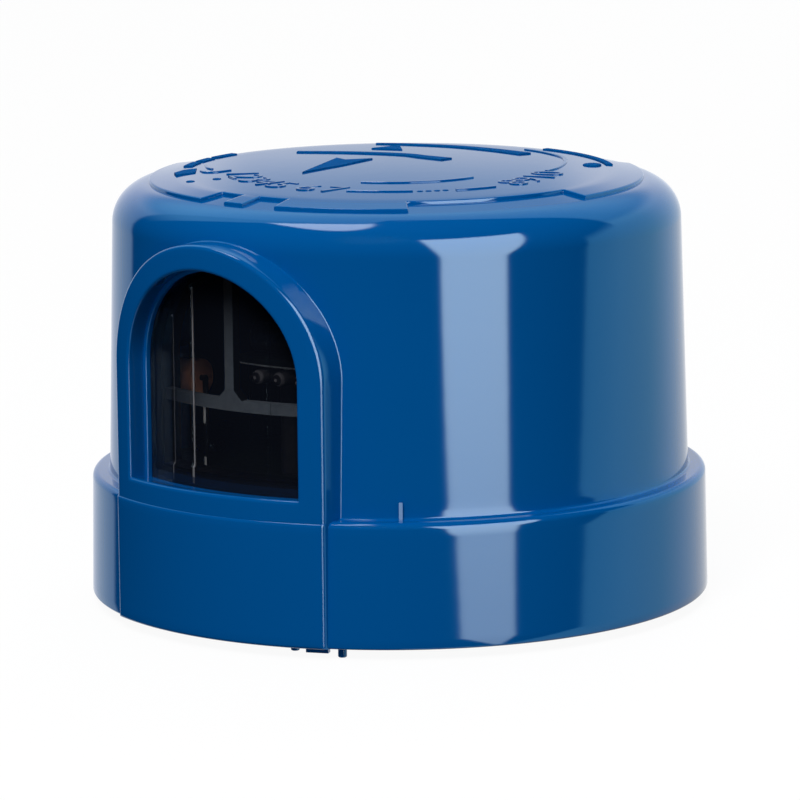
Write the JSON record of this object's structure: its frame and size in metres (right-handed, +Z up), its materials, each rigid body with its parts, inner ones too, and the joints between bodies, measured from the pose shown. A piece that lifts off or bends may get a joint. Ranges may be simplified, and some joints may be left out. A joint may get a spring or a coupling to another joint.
{
  "type": "photocell switch",
  "caption": "Drum-shaped twist-lock photocell switch with an arched smoked window; it plugs into an outdoor lamp and switches it by daylight.",
  "frame": {"origin": "on the drum's axis, in the plane of the gasket's underside, where the plug seats", "axes": "+Z up along the drum's axis, away from the socket; -Y out of the window"},
  "size_m": [0.086, 0.0867, 0.0599],
  "materials": {
    "cover_blue": "gloss moulded",
    "smoked_lens": "polished, smoked",
    "slate_plastic": "satin moulded",
    "black_plastic": "satin moulded",
    "foam_rubber": "cellular",
    "blade_brass": "stamped",
    "plated_steel": "zinc plated",
    "board_laminate": "solder mask",
    "red_epoxy": "dipped",
    "can_sleeve": "shrink sleeve",
    "blue_epoxy": "dipped",
    "brown_enamel": "enamelled",
    "tinned_wire": "tinned",
    "nylon": "natural",
    "clear_epoxy": "clear, domed",
    "can_aluminium": "drawn"
  },
  "bodies": {
    "root": {"cover": "cover_blue", "window_lens": "smoked_lens", "lens_retainer": "slate_plastic", "base_plate": "black_plastic", "gasket": "foam_rubber", "line_blade": "blade_brass", "load_blade": "blade_brass", "neutral_blade": "blade_brass", "blade_rivets": "plated_steel", "base_screws": "plated_steel", "main_board": "board_laminate", "board_screws": "plated_steel", "relay": "black_plastic", "film_capacitor": "red_epoxy", "electrolytic_capacitor": "can_sleeve", "surge_varistor": "blue_epoxy", "dropping_resistor": "brown_enamel", "resistor_leads": "tinned_wire", "rectifier_diodes": "black_plastic", "diode_leads": "tinned_wire", "sensor_board": "board_laminate", "sensor_posts": "nylon", "light_sensors": "clear_epoxy", "sensor_leads": "tinned_wire", "sensor_capacitor": "can_aluminium"}
  },
  "joints": []
}
